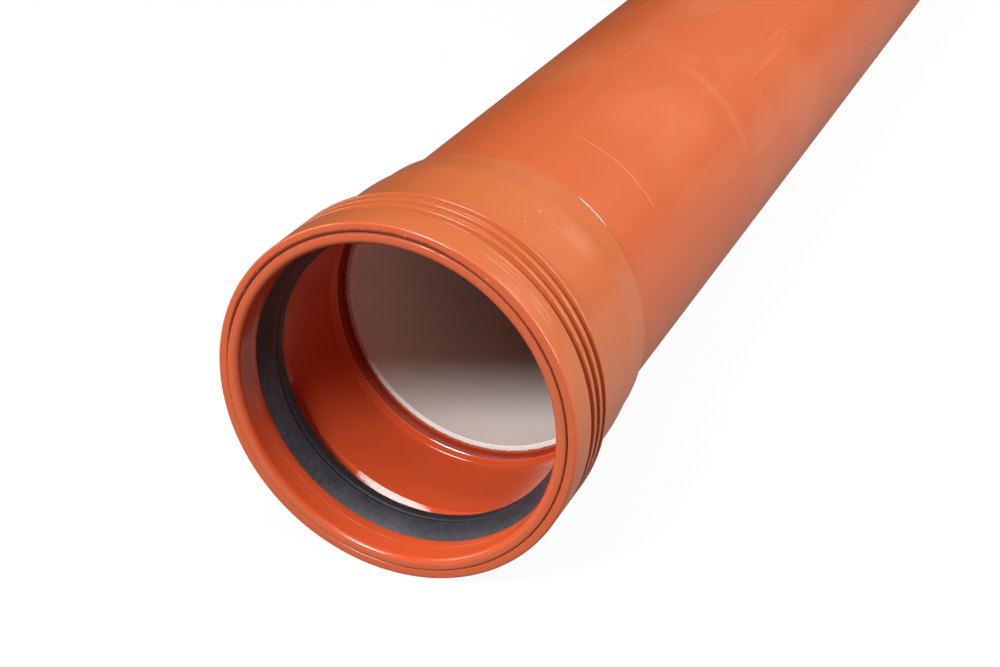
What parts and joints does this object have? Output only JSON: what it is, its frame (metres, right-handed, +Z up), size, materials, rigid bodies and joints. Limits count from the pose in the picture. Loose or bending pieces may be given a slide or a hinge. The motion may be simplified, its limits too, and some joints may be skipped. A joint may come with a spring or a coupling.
{
  "type": "socketed sewer pipe",
  "caption": "Orange polypropylene sewer pipe: ribbed push-fit socket with retaining ring and black rubber lip seal, light inner wall layer, chamfered spigot end.",
  "frame": {"origin": "On the pipe's axis at the inner end of the socket's bore, where the stop begins.", "axes": "+Y runs along the pipe from the socket's mouth to the spigot end, +Z is up, and +X is across."},
  "size_m": [0.1818, 1.0911, 0.1818],
  "materials": {
    "barrel_orange": "satin extruded skin with fine scuffs",
    "barrel_light": "matt extruded, rough where sawn",
    "socket_orange": "satin moulded",
    "ring_orange": "satin moulded",
    "seal_rubber": "matt moulded rubber"
  },
  "bodies": {
    "root": {"barrel_outer_layer": "barrel_orange", "barrel_inner_layer": "barrel_light", "socket": "socket_orange", "retaining_ring": "ring_orange", "sealing_ring": "seal_rubber"}
  },
  "joints": []
}
